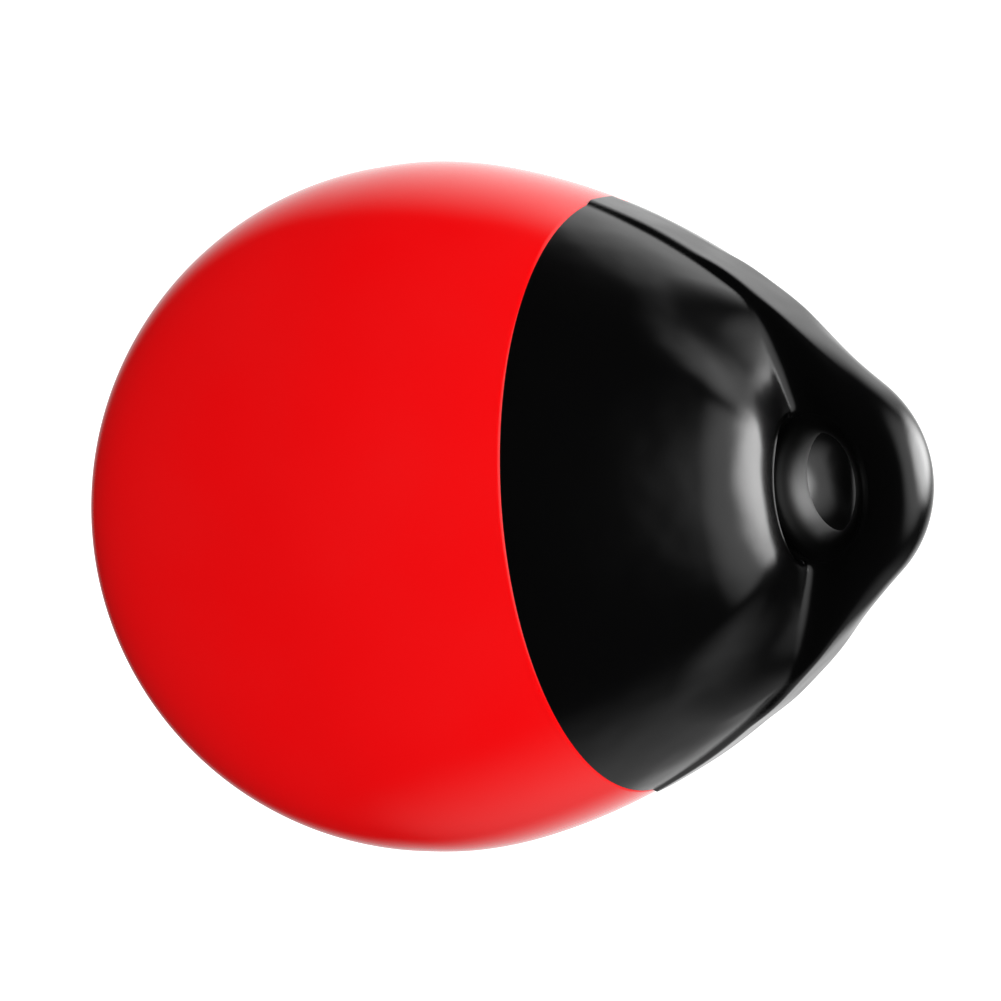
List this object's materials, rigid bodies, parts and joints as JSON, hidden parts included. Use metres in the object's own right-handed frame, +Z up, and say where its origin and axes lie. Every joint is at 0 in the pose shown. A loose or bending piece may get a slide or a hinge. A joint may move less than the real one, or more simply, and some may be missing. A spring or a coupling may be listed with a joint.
{
  "type": "ball fender",
  "caption": "Inflatable ball fender for boats and moorings: hollow red vinyl ball with a tapered black nose that ends in a thick rope eye.",
  "frame": {"origin": "middle of the rope eye's hole", "axes": "+Z up along the fender's axis, from the ball to the rope eye; the eye's hole runs along Y and its two ribs lie at -X and +X; the valve is on the +Y side"},
  "size_m": [0.29, 0.29, 0.3677],
  "materials": {
    "red_vinyl": "glossy soft vinyl",
    "black_vinyl": "glossy soft vinyl",
    "valve_body": "satin moulded",
    "seal_rubber": "matt rubber",
    "screw_nylon": "satin natural nylon"
  },
  "bodies": {
    "root": {"ball_shell": "red_vinyl", "rope_nose": "black_vinyl", "valve_insert": "valve_body", "valve_seal": "seal_rubber", "valve_screw": "screw_nylon"}
  },
  "joints": []
}
